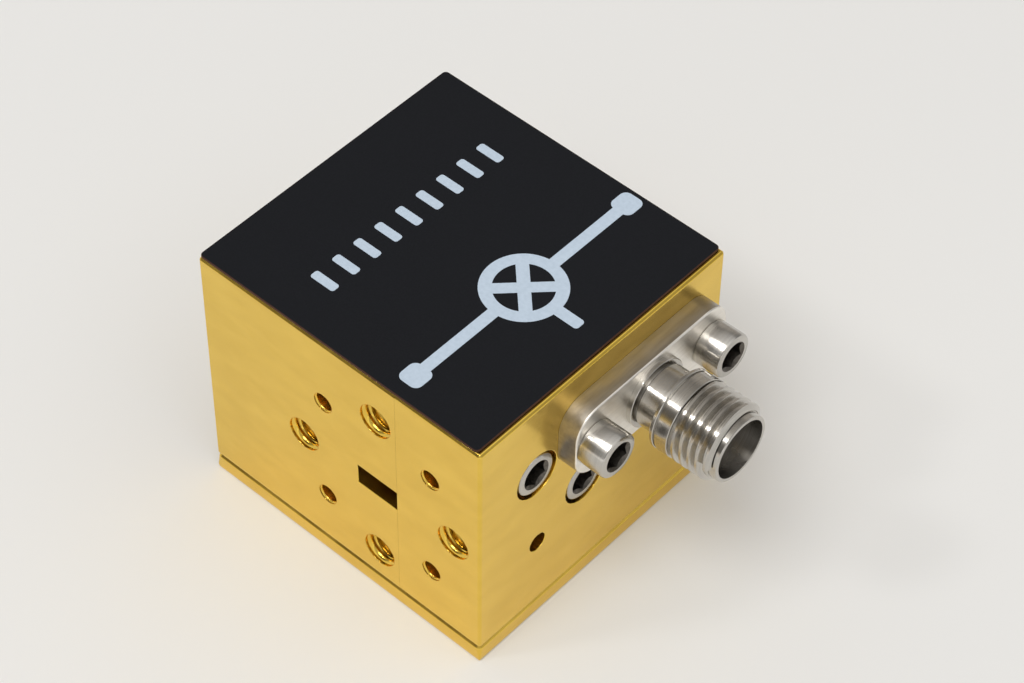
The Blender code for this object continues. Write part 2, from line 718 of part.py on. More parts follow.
def main():
    clear_scene()
    gold = material("gold_plate", (0.76, 0.52, 0.16), 1.0, 0.32)
    steel = material("stainless_steel", (0.55, 0.53, 0.49), 1.0, 0.22)
    black = material("black_label", (0.019, 0.021, 0.025), 0.0, 0.6)
    white = material("bead_white", (0.85, 0.84, 0.80), 0.0, 0.5)
    bright_gold = material("contact_gold", (0.83, 0.60, 0.22), 1.0, 0.2)
    ceramic = material("ceramic", (0.80, 0.79, 0.74), 0.0, 0.4)
    chip = material("diode_chip", (0.03, 0.03, 0.04), 0.0, 0.4)
    mixer = bpy.data.objects.new("mixer", None)
    bpy.context.scene.collection.objects.link(mixer)
    make_housings(gold, mixer)
    make_base_cover(gold, mixer)
    make_label(black, mixer)
    make_housing_screws(steel, mixer)
    make_cover_screws(steel, mixer)
    make_dowel_pins(steel, mixer)
    make_connector_shell(steel, mixer)
    make_bead(white, mixer)
    make_centre_contact(bright_gold, mixer)
    make_flange_screws(steel, mixer)
    make_circuit(ceramic, chip, mixer)


main()
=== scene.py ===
# %% [markdown]
# # A frequency mixer: gold-plated block, waveguide ports and a coaxial jack
#
# The mixer is a small block of plated brass, split in two so that its channels can be milled. It has a
# waveguide port on two sides, a steel coaxial jack on a third and a black label on top.
# The CAD model fixes every size and place. This lesson only gives it its looks: soft edges, real threads,
# printed ink and finishes. Loading the model first keeps every later piece where the CAD says it is.

# %% Load the frame
import math

import bmesh
import bpy
from mathutils import Matrix, Vector


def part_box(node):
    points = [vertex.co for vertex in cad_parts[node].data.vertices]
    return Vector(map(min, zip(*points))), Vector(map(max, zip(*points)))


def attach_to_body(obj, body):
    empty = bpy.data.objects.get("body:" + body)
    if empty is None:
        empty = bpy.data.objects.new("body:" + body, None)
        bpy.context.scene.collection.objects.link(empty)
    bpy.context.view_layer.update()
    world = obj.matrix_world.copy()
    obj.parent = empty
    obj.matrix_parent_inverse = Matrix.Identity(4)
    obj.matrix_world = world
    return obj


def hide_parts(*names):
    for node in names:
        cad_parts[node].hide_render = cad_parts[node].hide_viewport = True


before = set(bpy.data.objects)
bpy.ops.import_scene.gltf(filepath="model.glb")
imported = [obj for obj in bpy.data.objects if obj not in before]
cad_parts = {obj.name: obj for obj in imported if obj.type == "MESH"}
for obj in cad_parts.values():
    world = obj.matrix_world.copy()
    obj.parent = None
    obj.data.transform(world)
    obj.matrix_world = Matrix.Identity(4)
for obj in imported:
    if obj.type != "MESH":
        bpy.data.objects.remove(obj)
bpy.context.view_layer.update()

MM = 0.001

# %% [markdown]
# ## The camera
#
# A product photograph is easiest to match when the camera is set before anything else. The place, the two
# angles and the small roll come from the block's own corners in the picture. A long lens, 107 mm on a
# 36 mm sensor, keeps the block's edges nearly parallel, as they are in the picture.

# %% Camera
CAMERA_PLACE = Vector((97.867, -105.368, 177.165)) * MM
CAMERA_AZIMUTH = math.radians(41.473)
CAMERA_ELEVATION = math.radians(48.654)
CAMERA_ROLL = math.radians(0.849)
LENS = 107.0
SENSOR = 36.0


def camera_axes(azimuth, elevation, roll):
    """The camera's right, up and backward directions, as the columns of a rotation."""
    back = Vector((
        math.sin(azimuth) * math.cos(elevation),
        -math.cos(azimuth) * math.cos(elevation),
        math.sin(elevation),
    ))
    level = Vector((0, 0, 1)).cross(back).normalized()
    rise = back.cross(level)
    right = math.cos(roll) * level + math.sin(roll) * rise
    return Matrix((right, back.cross(right), back)).transposed()


camera = bpy.data.objects.new("camera", bpy.data.cameras.new("camera"))
camera.data.lens = LENS
camera.data.sensor_width = SENSOR
camera.data.clip_start = 0.01
camera.data.clip_end = 20.0
turn = camera_axes(CAMERA_AZIMUTH, CAMERA_ELEVATION, CAMERA_ROLL)
camera.matrix_world = Matrix.Translation(CAMERA_PLACE) @ turn.to_4x4()
bpy.context.scene.collection.objects.link(camera)
bpy.context.scene.camera = camera
print("camera stands", round(CAMERA_PLACE.length / MM), "mm from the block")

# %% [markdown]
# ## Floor and light
#
# Gold and steel have hardly any colour of their own: they show what is around them. A vertical gold face
# seen from above shows the pale floor, so the floor's colour and its shadow matter as much as the lamps.
# The room is a set of tones by height, lighter in front and on the jack's side. One strip of it is darker
# and warmer, like a curtain, most of all in front: the jack's turned steel shows mostly that strip, and gets
# its dark stripes from it. A dark card stands for the camera and whoever holds it, which any shiny thing
# shows a little of. A large lamp above the front makes the soft shadow. A small one further left adds hardly
# any light, but it is what glints on the steel.
# All trees of nodes here are built with one helper, add, whose inputs are plain values or links.

# %% Floor, room and lamps
FLOOR_COLOR = (0.84, 0.837, 0.824, 1.0)
FLOOR_SIZE = 6.0
ROOM_TONES = ((0.0, 0.92), (0.12, 0.84), (0.22, 0.36), (0.58, 0.38), (0.72, 0.96), (1.0, 1.0))
ROOM_TINT = (1.0, 0.995, 0.99)
ROOM_SLOPE = (0.34, -0.38, 0.0)
CURTAIN_FRONT = ((0.0, 0.80), (0.10, 0.78), (0.19, 0.10), (0.58, 0.13), (0.68, 0.40), (1.0, 0.50))
CURTAIN_BACK = ((0.0, 0.90), (0.25, 0.95), (0.48, 0.85), (0.68, 0.36), (1.0, 0.50))
CURTAIN_TINT = (1.0, 0.93, 0.85)
CURTAIN_X = -0.36
CURTAIN_HALF_WIDTHS = (0.14, 0.34)
CURTAIN_TURN = (0.05, 0.40)
CARD_COLOR = (0.13, 0.115, 0.10, 1.0)
CARD_HALF_ANGLES = (8.0, 17.0)
LAMP_DISTANCE = 1.2
LAMP_COLOR = (1.0, 0.995, 0.985)
TOP_LAMP = {"direction": (0.10, -0.43, 0.90), "size": 0.60, "power": 5.1}
GLINT_LAMP = {"direction": (-0.36, -0.54, 0.76), "size": 0.17, "power": 1.2}


def add(tree, kind, inputs=None, **settings):
    """One node. Each of its inputs is given a plain value or another node's output."""
    made = tree.nodes.new(kind)
    for name, value in settings.items():
        setattr(made, name, value)
    for socket, value in (inputs or {}).items():
        if isinstance(value, bpy.types.NodeSocket):
            tree.links.new(value, made.inputs[socket])
        else:
            made.inputs[socket].default_value = value
    return made


def calculate(tree, operation, *values):
    return add(tree, "ShaderNodeMath", dict(enumerate(values)), operation=operation).outputs["Value"]


def tone_ramp(tree, height, tones, tint):
    """Room tones by height, as a colour ramp."""
    ramp = add(tree, "ShaderNodeValToRGB", {"Fac": height})
    stops = ramp.color_ramp.elements
    while len(stops) < len(tones):
        stops.new(0.5)
    for stop, (place, tone) in zip(stops, tones):
        stop.position = place
        stop.color = (*[tone * part for part in tint], 1.0)
    return ramp.outputs["Color"]


def along_direction(tree, direction, towards):
    """How far the looked-at direction goes towards another: 1 is all the way, -1 is the opposite."""
    both = {0: direction, 1: towards}
    return add(tree, "ShaderNodeVectorMath", both, operation="DOT_PRODUCT").outputs["Value"]


def soft_step(tree, value, first, last):
    """0 up to the first value, 1 from the last one, and a soft change between them."""
    ends = {"Value": value, "From Min": first, "From Max": last}
    return add(tree, "ShaderNodeMapRange", ends, interpolation_type="SMOOTHSTEP").outputs["Result"]


def blended(tree, factor, first, second):
    """A mix of two colours."""
    colors = {"Factor": factor, "A": first, "B": second}
    return add(tree, "ShaderNodeMix", colors, data_type="RGBA").outputs["Result"]


def room_light():
    """A world of tones by height, with the curtain round one value of X and the card at the camera."""
    world = bpy.data.worlds.new("room")
    world.use_nodes = True
    tree = world.node_tree
    direction = add(tree, "ShaderNodeTexCoord").outputs["Generated"]
    parts = add(tree, "ShaderNodeSeparateXYZ", {"Vector": direction}).outputs
    distance = calculate(tree, "ABSOLUTE", calculate(tree, "SUBTRACT", parts["X"], CURTAIN_X))
    front = tone_ramp(tree, parts["Z"], CURTAIN_FRONT, CURTAIN_TINT)
    back = tone_ramp(tree, parts["Z"], CURTAIN_BACK, CURTAIN_TINT)
    curtain = blended(tree, soft_step(tree, parts["Y"], *CURTAIN_TURN), front, back)
    beside = soft_step(tree, distance, *CURTAIN_HALF_WIDTHS)
    walls = blended(tree, beside, curtain, tone_ramp(tree, parts["Z"], ROOM_TONES, ROOM_TINT))
    inner, outer = (math.cos(math.radians(angle)) for angle in CARD_HALF_ANGLES)
    on_card = soft_step(tree, along_direction(tree, direction, CAMERA_PLACE.normalized()), outer, inner)
    light = tree.nodes["Background"].inputs
    tree.links.new(blended(tree, on_card, walls, CARD_COLOR), light["Color"])
    slope = along_direction(tree, direction, ROOM_SLOPE)
    tree.links.new(calculate(tree, "ADD", slope, 1.0), light["Strength"])
    return world


def disk_lamp(name, direction, size, power):
    """A round lamp that shines on the block from this direction."""
    data = bpy.data.lights.new(name, "AREA")
    data.shape = "DISK"
    data.size = size
    data.energy = power
    data.color = LAMP_COLOR
    lamp = bpy.data.objects.new(name, data)
    towards = Vector(direction).normalized()
    aim = towards.to_track_quat("Z", "Y").to_matrix().to_4x4()
    lamp.matrix_world = Matrix.Translation(towards * LAMP_DISTANCE) @ aim
    bpy.context.scene.collection.objects.link(lamp)


bpy.context.scene.world = room_light()
bpy.context.scene.view_settings.view_transform = "Standard"
disk_lamp("top_lamp", **TOP_LAMP)
disk_lamp("glint_lamp", **GLINT_LAMP)

floor_mesh = bpy.data.meshes.new("floor")
half = FLOOR_SIZE / 2
floor_corners = [(-half, -half, 0), (half, -half, 0), (half, half, 0), (-half, half, 0)]
floor_mesh.from_pydata(floor_corners, [], [(0, 1, 2, 3)])
floor = bpy.data.objects.new("floor", floor_mesh)
bpy.context.scene.collection.objects.link(floor)
print("top lamp", TOP_LAMP["power"], "W, glint lamp", GLINT_LAMP["power"], "W")

# %% [markdown]
# ## Helpers for finishes
#
# A finish here is one shader plus a few layers of noise. Noise on Object coordinates is fixed to the piece
# and is measured in metres, so a grain length of 0.05 mm is 0.05 mm on every piece. Stretching the noise
# along one or two axes turns spots into milling or turning lines.

# %% Finish helpers
NOISE_RANGE = (0.3, 0.7)


def finish(name, metallic, roughness, **sockets):
    """A new material, and its shader with the values that are the same all over it."""
    made = bpy.data.materials.new(name)
    made.use_nodes = True
    shader = made.node_tree.nodes["Principled BSDF"]
    shader.inputs["Metallic"].default_value = metallic
    shader.inputs["Roughness"].default_value = roughness
    for socket, value in sockets.items():
        shader.inputs[socket.replace("_", " ")].default_value = value
    return made, shader


def grain(tree, lengths, detail=2.0, shift=0.0):
    """Noise whose grains have these lengths along X, Y and Z."""
    stretch = {
        "Vector": add(tree, "ShaderNodeTexCoord").outputs["Object"],
        "Location": (shift, shift, shift),
        "Scale": [1 / length for length in lengths],
    }
    place = add(tree, "ShaderNodeMapping", stretch).outputs["Vector"]
    return add(tree, "ShaderNodeTexNoise", {"Vector": place, "Scale": 1.0, "Detail": detail}).outputs["Fac"]


def between(tree, factor, low, high):
    """A number that runs from low to high as the noise runs over its usual range."""
    ends = dict(zip(("From Min", "From Max", "To Min", "To Max"), (*NOISE_RANGE, low, high)))
    return add(tree, "ShaderNodeMapRange", {"Value": factor, **ends}).outputs["Result"]


def two_tones(tree, factor, first, second):
    """A colour between two tones."""
    return blended(tree, between(tree, factor, 0.0, 1.0), (*first, 1.0), (*second, 1.0))


def bumps(tree, shader, *layers):
    """Layers of (noise, height in metres), one bump on top of the other."""
    under = {}
    for height, depth in layers:
        layer = {"Height": height, "Strength": 1.0, "Distance": depth, **under}
        under = {"Normal": add(tree, "ShaderNodeBump", layer).outputs["Normal"]}
    tree.links.new(under["Normal"], shader.inputs["Normal"])


print("helpers: finish, grain, between, two_tones, bumps")

# %% [markdown]
# ## Gold plate
#
# The block is milled, then plated with a few micrometres of gold. Plating follows the milling lines under
# it and softens them. Slow waves bend the reflections, fine lines follow the cutter's path, and tone and
# gloss change slowly where the plating is thicker or thinner.

# %% Gold plate
GOLD_LIGHT = (0.86, 0.588, 0.104)
GOLD_DEEP = (0.78, 0.52, 0.084)


def gold_plate(name, lines, roughness_low, roughness_high):
    made, shader = finish(name, 1.0, roughness_low)
    tree = made.node_tree
    tone = grain(tree, (4 * MM, 4 * MM, 1.6 * MM), detail=6.0)
    tree.links.new(two_tones(tree, tone, GOLD_LIGHT, GOLD_DEEP), shader.inputs["Base Color"])
    cloud = grain(tree, (2.2 * MM, 2.2 * MM, 1.4 * MM), shift=3.0)
    tree.links.new(between(tree, cloud, roughness_low, roughness_high), shader.inputs["Roughness"])
    waves = grain(tree, (1.6 * MM, 1.6 * MM, 1.1 * MM), detail=1.0, shift=7.0)
    bumps(tree, shader, (waves, 0.014 * MM), (grain(tree, lines, detail=1.0), 0.002 * MM))
    return made


gold = gold_plate("gold_plate", (6 * MM, 6 * MM, 0.07 * MM), 0.17, 0.26)
floor_finish, floor_shader = finish("pale_floor", 0.0, 0.75, Base_Color=FLOOR_COLOR, Specular_IOR_Level=0.2)
floor_mesh.materials.append(floor_finish)
print("made", gold.name, "and", floor_finish.name)

# %% [markdown]
# ## Steel
#
# The jack and the screws are stainless steel off a lathe. A lathe leaves rings round the turning axis, so
# the noise is fine along that axis and long across it. The rings also draw every highlight out along the
# axis, which is what the shader's Anisotropic value does once its Tangent is given that axis. The flange's
# front has milling lines and its rim is rougher. Their colours are painted light and shade: the front is
# lighter than steel's own colour, the rim darker. The bore's wall and the screws' hexagon sockets are
# coloured darker as painted shade.

# %% Steel
STEEL_TONES = ((0.57, 0.545, 0.50), (0.46, 0.44, 0.405))
# Painted light: the flange front's colour is lighter than steel's own.
FLANGE_FRONT_LIT_TONES = ((0.92, 0.88, 0.81), (0.80, 0.765, 0.70))
# Painted shade: the flange rim's colour is darker than steel's own.
FLANGE_RIM_SHADE_TONES = ((0.44, 0.405, 0.36), (0.34, 0.315, 0.28))
# Painted shade: the bore's wall is coloured darker than steel's own.
BORE_SHADE_TONES = ((0.34, 0.32, 0.29), (0.24, 0.225, 0.205))
# Painted shade: the hexagon sockets are coloured nearly black.
SOCKET_SHADE_TONES = ((0.16, 0.145, 0.125), (0.09, 0.08, 0.07))
TURNING_AXIS = (1.0, 0.02, 0.01)
RINGS = (0.045 * MM, 3 * MM, 3 * MM)
UPRIGHT_RINGS = (3 * MM, 3 * MM, 0.045 * MM)
PLATE_LINES = (0.3 * MM, 3 * MM, 0.3 * MM)
SPECKS = (0.2 * MM, 0.2 * MM, 0.2 * MM)


def steel(name, lines, roughness, line_depth, tones=STEEL_TONES, draw=0.0):
    """roughness is its range, draw is how much highlights are drawn out along the turning axis."""
    made, shader = finish(name, 1.0, roughness[0], Anisotropic=draw)
    tree = made.node_tree
    streaks = grain(tree, lines, detail=3.0)
    tree.links.new(two_tones(tree, streaks, *tones), shader.inputs["Base Color"])
    cloud = grain(tree, (1.5 * MM, 1.5 * MM, 1.5 * MM), shift=2.0)
    tree.links.new(between(tree, cloud, *roughness), shader.inputs["Roughness"])
    bumps(tree, shader, (streaks, line_depth))
    if draw:
        axis = add(tree, "ShaderNodeCombineXYZ", dict(zip("XYZ", TURNING_AXIS)))
        tree.links.new(axis.outputs["Vector"], shader.inputs["Tangent"])
    return made


turned_steel = steel("turned_steel", RINGS, (0.19, 0.25), 0.0012 * MM, draw=0.7)
bored_steel = steel("bored_steel", RINGS, (0.26, 0.34), 0.0016 * MM, BORE_SHADE_TONES, draw=0.85)
milled_steel = steel("milled_steel", PLATE_LINES, (0.30, 0.40), 0.0008 * MM, FLANGE_FRONT_LIT_TONES)
sawn_steel = steel("sawn_steel", PLATE_LINES, (0.36, 0.46), 0.0012 * MM, FLANGE_RIM_SHADE_TONES)
upright_steel = steel("upright_turned_steel", UPRIGHT_RINGS, (0.2, 0.3), 0.001 * MM)
socket_painted_shade = steel("socket_scale", SPECKS, (0.34, 0.44), 0.002 * MM, SOCKET_SHADE_TONES)
steels = (turned_steel, bored_steel, milled_steel, sawn_steel, upright_steel, socket_painted_shade)
print("made", [made.name for made in steels])

# %% [markdown]
# ## Label, ink, plastic and ceramic
#
# The label is a thin matt plate, so it gets a very fine, shallow grain and little gloss. The ink is flat and
# slightly uneven, and the circuit strips are lapped ceramic. The jack's bead is a machined fluoropolymer. It
# is white, but its colour here is a grey: painted shade, for the dark bore it sits deep in.

# %% Other finishes
def fine_grain(name, light, dark, roughness, size, depth, gloss):
    made, shader = finish(name, 0.0, roughness, Specular_IOR_Level=gloss)
    tree = made.node_tree
    speck = grain(tree, (size, size, size), detail=3.0)
    tree.links.new(two_tones(tree, speck, light, dark), shader.inputs["Base Color"])
    cloud = grain(tree, (3 * MM, 3 * MM, 3 * MM), shift=5.0)
    tree.links.new(between(tree, cloud, roughness - 0.05, roughness + 0.05), shader.inputs["Roughness"])
    bumps(tree, shader, (speck, depth))
    return made


FINE_GRAINS = {
    "label_black": ((0.0095, 0.0105, 0.0135), (0.007, 0.0078, 0.0102), 0.55, 0.12 * MM, 0.003 * MM, 0.15),
    "label_edge": ((0.085, 0.036, 0.02), (0.05, 0.022, 0.013), 0.6, 0.1 * MM, 0.003 * MM, 0.15),
    "pale_blue_ink": ((0.56, 0.66, 0.775), (0.50, 0.60, 0.71), 0.5, 0.3 * MM, 0.002 * MM, 0.3),
    # Painted shade: the white bead is coloured grey for the dark bore.
    "bead_white": ((0.42, 0.405, 0.375), (0.36, 0.345, 0.32), 0.45, 0.2 * MM, 0.002 * MM, 0.3),
    "ceramic": ((0.83, 0.82, 0.77), (0.78, 0.77, 0.72), 0.4, 0.06 * MM, 0.001 * MM, 0.5),
    "diode_chip": ((0.035, 0.035, 0.045), (0.025, 0.025, 0.032), 0.25, 0.05 * MM, 0.0005 * MM, 0.5),
}
label_black, label_edge, ink, bead_white, ceramic, diode_chip = (
    fine_grain(name, *values) for name, values in FINE_GRAINS.items())
contact_gold = gold_plate("contact_gold", (0.05 * MM, 2 * MM, 2 * MM), 0.12, 0.2)
print("made", [*FINE_GRAINS, contact_gold.name])

# %% [markdown]
# ## Helpers for pieces
#
# Every finished piece keeps its place in its mesh and its object at the origin, as the CAD nodes do. Flat
# faces next to small rounded edges need weighted normals: the big faces then stay flat and only the
# rounding shades softly.

# %% Piece helpers
SAME_PLACE = 0.001 * MM
SHARP_ANGLE = math.radians(32)
ALONG_X = Matrix.Rotation(math.radians(90), 4, "Y")
ALONG_MINUS_Y = Matrix.Rotation(math.radians(90), 4, "X")
ALONG_PLUS_Y = Matrix.Rotation(math.radians(-90), 4, "X")


def object_from(bm, name, look=None):
    """A bmesh as an object at the origin."""
    mesh = bpy.data.meshes.new(name)
    bm.to_mesh(mesh)
    bm.free()
    if look is not None:
        mesh.materials.append(look)
    made = bpy.data.objects.new(name, mesh)
    bpy.context.scene.collection.objects.link(made)
    return made


def plain_mesh(piece):
    """Puts the result of a piece's modifiers in its mesh and takes the modifiers off."""
    evaluated = piece.evaluated_get(bpy.context.evaluated_depsgraph_get())
    mesh = bpy.data.meshes.new_from_object(evaluated)
    mesh.name = piece.name
    old = piece.data
    piece.modifiers.clear()
    piece.data = mesh
    bpy.data.meshes.remove(old)
    return piece


def softly_shaded(piece):
    """Smooth where it is round, sharp at real edges, flat on big faces."""
    piece.data.shade_smooth()
    piece.data.set_sharp_from_angle(angle=SHARP_ANGLE)
    weigh = piece.modifiers.new("weigh", "WEIGHTED_NORMAL")
    weigh.keep_sharp = True
    return plain_mesh(piece)


def attach(piece, slot, *nodes):
    """Hides the CAD nodes that the piece stands for and fixes the piece to the one rigid body. slot is not
    used.
    """
    if nodes:
        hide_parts(*nodes)
    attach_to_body(piece, "root")
    print(piece.name, len(piece.data.polygons), "faces, for", nodes or "nothing in the CAD")


print("helpers: object_from, plain_mesh, softly_shaded, attach")

# %% [markdown]
# ## The two halves of the block and the cover plate
#
# These are milled parts with many holes. Cutting them again would be wasted work, so each piece starts as a
# copy of its CAD mesh. The copy's loose triangles are merged, flat neighbours are joined, and then only the
# edges that lie on the outside are rounded, as a deburring wheel would leave them. Each edge carries a bevel
# weight, so that one Bevel modifier can round the block's edge along the cover's seam more than the rest.
# The CAD keeps 0.05 mm between pieces that really touch. Seen from close up that is a black line, so the
# face that meets its neighbour is moved up to 0.01 mm from it. The real cover ends flush with the block and
# the CAD's is a little narrower, so its rim is carried out.

# %% Block halves and cover plate
EDGE_ROUNDING = 0.05 * MM
SEAM_ROUNDING = 0.16 * MM
SEAM_CHAMFER = 0.18 * MM
ROUNDING_STEPS = 4
SMALLEST_ANGLE = math.radians(20)
OUTSIDE_DEPTH = 0.2 * MM
CONTACT_GAP = 0.01 * MM
RIM_REACH = 0.6 * MM
FOOT_HEIGHT = 0.36 * MM
FOOT_SHARE = 0.3
FLAT_ANGLE = math.radians(0.5)
rear_low, rear_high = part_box("housing_rear")
front_low, front_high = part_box("housing_front")
cover_low, cover_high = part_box("base_cover")
SEAM_HEIGHT = rear_low.z + SEAM_CHAMFER


def lies_at(edge, axis, place):
    """True where the whole edge lies in the plane across this axis (0 is X, 2 is Z)."""
    return all(abs(vertex.co[axis] - place) < SAME_PLACE for vertex in edge.verts)


def merged_copy(node):
    """A CAD node's mesh with its flat triangles joined. Known fault: the cover's underside, joined round its
    four screw holes, is filled wrongly and overlaps itself."""
    bm = bmesh.new()
    bm.from_mesh(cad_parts[node].data)
    bmesh.ops.remove_doubles(bm, verts=bm.verts, dist=SAME_PLACE)
    bmesh.ops.dissolve_limit(bm, angle_limit=FLAT_ANGLE, verts=bm.verts, edges=bm.edges)
    return bm


def on_outside(vertex, low, high):
    """True within a hair of the piece's own box."""
    gaps = [min(vertex.co[i] - low[i], high[i] - vertex.co[i]) for i in range(3)]
    return min(gaps) < OUTSIDE_DEPTH


def carry_rim_out(bm):
    """Moves the cover's rim out until it is flush with the block, and makes its foot radius smaller."""
    for vertex in bm.verts:
        share = FOOT_SHARE if vertex.co.z < FOOT_HEIGHT else 1.0
        for axis in (0, 1):
            from_low = vertex.co[axis] - cover_low[axis]
            from_high = cover_high[axis] - vertex.co[axis]
            if from_low < RIM_REACH:
                vertex.co[axis] = rear_low[axis] + share * from_low
            elif from_high < RIM_REACH:
                vertex.co[axis] = front_high[axis] - share * from_high


def deburred_copy(node, name, axis, old, new):
    """The face that meets a neighbour moves from its old to its new place on this axis, with sharp edges."""
    bm = merged_copy(node)
    if node == "base_cover":
        carry_rim_out(bm)
    low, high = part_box(node)
    weights = bm.edges.layers.float.new("bevel_weight_edge")
    for edge in bm.edges:
        if len(edge.link_faces) != 2 or edge.calc_face_angle() < SMALLEST_ANGLE:
            continue
        if all(on_outside(vertex, low, high) for vertex in edge.verts) and not lies_at(edge, axis, old):
            edge[weights] = 1.0 if lies_at(edge, 2, SEAM_HEIGHT) else EDGE_ROUNDING / SEAM_ROUNDING
    for vertex in bm.verts:
        if abs(vertex.co[axis] - old) < SAME_PLACE:
            vertex.co[axis] = new
    piece = object_from(bm, name, gold)
    rounding = piece.modifiers.new("rounding", "BEVEL")
    rounding.limit_method = "WEIGHT"
    rounding.width = SEAM_ROUNDING
    rounding.segments = ROUNDING_STEPS
    rounding.use_clamp_overlap = False
    return softly_shaded(piece)


for node, name, *meeting_face in (
    ("housing_front", "block_front", 0, front_low.x, rear_high.x + CONTACT_GAP),
    ("housing_rear", "block_rear", 0, rear_high.x, rear_high.x),
    ("base_cover", "foot_plate", 2, cover_high.z, rear_low.z - CONTACT_GAP),
):
    attach(deburred_copy(node, name, *meeting_face), "gold_plate", node)

# %% [markdown]
# ## Turning and cutting
#
# Round pieces are profiles spun about an axis, as a lathe makes them. A hexagon socket is cut with a Boolean,
# as the punch does. The profile is a list of (radius, height) points along local Z.

# %% Turning and cutting
ROUND_STEPS = 72
FINE_STEPS = 96


def turned(profile, steps=ROUND_STEPS, closed=False):
    bm = bmesh.new()
    points = [bm.verts.new((radius, 0.0, height)) for radius, height in profile]
    pairs = list(zip(points, points[1:]))
    if closed:
        pairs.append((points[-1], points[0]))
    edges = [bm.edges.new(pair) for pair in pairs]
    bmesh.ops.spin(bm, geom=points + edges, cent=(0, 0, 0), axis=(0, 0, 1), angle=math.tau, steps=steps)
    bmesh.ops.remove_doubles(bm, verts=bm.verts, dist=SAME_PLACE)
    bmesh.ops.recalc_face_normals(bm, faces=bm.faces)
    return bm


def prism(outline, low, high):
    """A flat outline of (x, y) points, raised along local Z."""
    bm = bmesh.new()
    face = bm.faces.new([bm.verts.new((x, y, low)) for x, y in outline])
    grown = bmesh.ops.extrude_face_region(bm, geom=[face])
    top = [item for item in grown["geom"] if isinstance(item, bmesh.types.BMVert)]
    bmesh.ops.translate(bm, vec=(0, 0, high - low), verts=top)
    bmesh.ops.recalc_face_normals(bm, faces=bm.faces)
    return bm


def polygon(radius, corners, start=0.0):
    angles = [start + math.tau * k / corners for k in range(corners)]
    return [(radius * math.cos(a), radius * math.sin(a)) for a in angles]


def combine(piece, others, operation):
    """Adds or cuts several bodies at once."""
    group = bpy.data.collections.new("others")
    for other in others:
        bpy.context.scene.collection.objects.unlink(other)
        group.objects.link(other)
    bpy.context.scene.collection.children.link(group)
    modifier = piece.modifiers.new("combine", "BOOLEAN")
    modifier.operation = operation
    modifier.solver = "EXACT"
    modifier.operand_type = "COLLECTION"
    modifier.collection = group
    plain_mesh(piece)
    for other in others:
        bpy.data.objects.remove(other, do_unlink=True)
    bpy.data.collections.remove(group)
    return piece


print("helpers: turned, prism, polygon, combine")

# %% [markdown]
# ## Repeating a piece on points
#
# Screws, thread ridges and printed bars all repeat. One Geometry Nodes tree does it: the object's own
# vertices are the places, and a template is copied to each of them with one turn. Realize Instances makes
# real faces of the copies, because an exported model can't hold instances.

# %% A tree that repeats a template
def new_tree(name, inputs):
    """A Geometry Nodes tree with a geometry socket on each side and these named inputs."""
    tree = bpy.data.node_groups.new(name, "GeometryNodeTree")
    tree.interface.new_socket("Geometry", in_out="INPUT", socket_type="NodeSocketGeometry")
    for label, kind in inputs.items():
        tree.interface.new_socket(label, in_out="INPUT", socket_type="NodeSocket" + kind)
    tree.interface.new_socket("Geometry", in_out="OUTPUT", socket_type="NodeSocketGeometry")
    return tree, tree.nodes.new("NodeGroupInput"), tree.nodes.new("NodeGroupOutput")


def ending(tree, geometry, start, end):
    """Real faces and one material, as every tree here ends."""
    real = add(tree, "GeometryNodeRealizeInstances", {"Geometry": geometry}).outputs["Geometry"]
    paint = {"Geometry": real, "Material": start.outputs["Material"]}
    tree.links.new(add(tree, "GeometryNodeSetMaterial", paint).outputs["Geometry"], end.inputs["Geometry"])


def repeating_tree():
    inputs = {"Template": "Object", "Turn": "Rotation", "Material": "Material"}
    tree, start, end = new_tree("repeat_on_points", inputs)
    given = start.outputs
    template = add(tree, "GeometryNodeObjectInfo", {"Object": given["Template"]}).outputs["Geometry"]
    places = {"Points": given["Geometry"], "Instance": template, "Rotation": given["Turn"]}
    ending(tree, add(tree, "GeometryNodeInstanceOnPoints", places).outputs["Instances"], start, end)
    return tree


def run_tree(tree, name, points, values):
    """Runs a tree on an object made of loose points and keeps the result as a plain mesh."""
    mesh = bpy.data.meshes.new(name)
    mesh.from_pydata([tuple(point) for point in points], [], [])
    piece = bpy.data.objects.new(name, mesh)
    bpy.context.scene.collection.objects.link(piece)
    nodes = piece.modifiers.new("nodes", "NODES")
    nodes.node_group = tree
    sockets = {item.name: item.identifier for item in tree.interface.items_tree if item.in_out == "INPUT"}
    for label, value in values.items():
        nodes[sockets[label]] = value
    bpy.context.view_layer.update()
    return plain_mesh(piece)


REPEAT = repeating_tree()


def repeated(name, template, points, turn, look):
    """Copies of a template at each point, all turned the same way."""
    return run_tree(REPEAT, name, points, {"Template": template, "Turn": turn.to_euler(), "Material": look})


print("tree:", REPEAT.name, [item.name for item in REPEAT.interface.items_tree])

# %% [markdown]
# ## A tree for threads
#
# A thread is a ridge on a helix. The spiral gives the path and a trapezoid gives the ridge: wide at its root,
# narrow at its crest. The curve's radius fades the ridge in and out, as a thread starts and runs out. The
# same tree cuts both kinds: on the jack the ridge points outwards, in a tapped hole it points inwards.

# %% Thread tree
THINNEST_RIDGE = 0.02


def shifted(tree, geometry, change, axis, amount):
    """Geometry moved along or turned about one axis; change is Translation or Rotation."""
    vector = add(tree, "ShaderNodeCombineXYZ", {axis: amount}).outputs["Vector"]
    return add(tree, "GeometryNodeTransform", {"Geometry": geometry, change: vector}).outputs["Geometry"]


